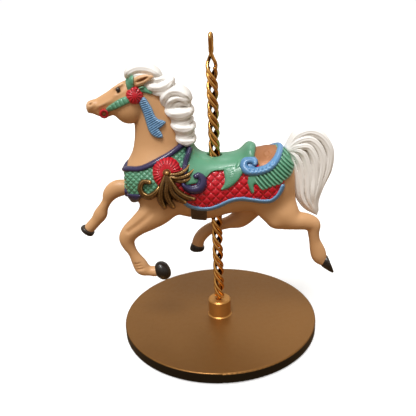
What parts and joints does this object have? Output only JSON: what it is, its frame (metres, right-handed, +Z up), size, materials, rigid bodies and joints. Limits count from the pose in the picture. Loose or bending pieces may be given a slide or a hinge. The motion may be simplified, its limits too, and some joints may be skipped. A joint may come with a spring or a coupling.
{
  "type": "carousel horse ornament",
  "caption": "Painted carousel horse on a twisted brass wire pole with a hanging eye, turning and lifting out of a boss on a thin round base.",
  "frame": {"origin": "centre of the under face of the felt pad, on the surface that the stand rests on", "axes": "+Z up along the pole, the horse faces -X at rest, -Y is its near side"},
  "size_m": [0.1015, 0.08, 0.1189],
  "materials": {
    "base_bronze": "satin antique bronze lacquer",
    "felt": "short felt",
    "steel": "plain",
    "wire_brass": "polished, slightly toned",
    "coat_tan": "satin hand-painted resin",
    "eye_black": "gloss paint",
    "hoof_black": "satin paint",
    "hair_white": "satin paint with toned grooves",
    "quilt_red": "gloss paint",
    "paint_blue": "gloss paint",
    "paint_green": "gloss paint",
    "paint_navy": "gloss paint",
    "paint_gold": "antique gold paint",
    "paint_copper": "copper paint",
    "paint_brown": "satin paint"
  },
  "bodies": {
    "stand": {"base_disc": "base_bronze", "base_felt": "felt", "socket_boss": "base_bronze", "boss_screw": "steel"},
    "bush": {"socket_bush": "wire_brass"},
    "horse": {"pole_wire": "wire_brass", "pole_peg": "wire_brass", "torso": "coat_tan", "neck": "coat_tan", "head": "coat_tan", "ears": "coat_tan", "eyes": "eye_black", "near_fore_leg": "coat_tan", "far_fore_leg": "coat_tan", "near_hind_leg": "coat_tan", "far_hind_leg": "coat_tan", "near_fore_hoof": "hoof_black", "far_fore_hoof": "hoof_black", "near_hind_hoof": "hoof_black", "far_hind_hoof": "hoof_black", "mane": "hair_white", "forelock": "hair_white", "tail": "hair_white", "saddle_blanket": "quilt_red", "blanket_border": "paint_blue", "saddle_seat": "paint_green", "saddle_leaves": "paint_green", "cantle_scrolls": "paint_blue", "cantle_panels": "paint_copper", "feather_skirts": "paint_green", "shoulder_scrolls": "paint_navy", "pommel_straps": "paint_navy", "breast_collar": "paint_green", "collar_edge_band": "paint_navy", "collar_point_bands": "paint_navy", "breast_rosettes": "quilt_red", "rosette_buttons": "paint_gold", "gold_tassels": "paint_gold", "gold_plumes": "paint_gold", "gold_scrolls": "paint_gold", "girth_strap": "paint_brown", "bridle_rosettes": "quilt_red", "browband": "paint_green", "cheek_straps": "paint_green", "crown_straps": "paint_green", "bit_rings": "quilt_red", "bridle_ribbons": "paint_blue"}
  },
  "joints": [
    {"name": "pole_turn", "type": "hinge", "parent": "stand", "child": "bush", "pos_m": [0, 0, 0.01], "axis": [0, 0, 1], "continuous": true},
    {"name": "pole_lift", "type": "slide", "parent": "bush", "child": "horse", "axis": [0, 0, 1], "range_m": [0, 0.012]}
  ]
}
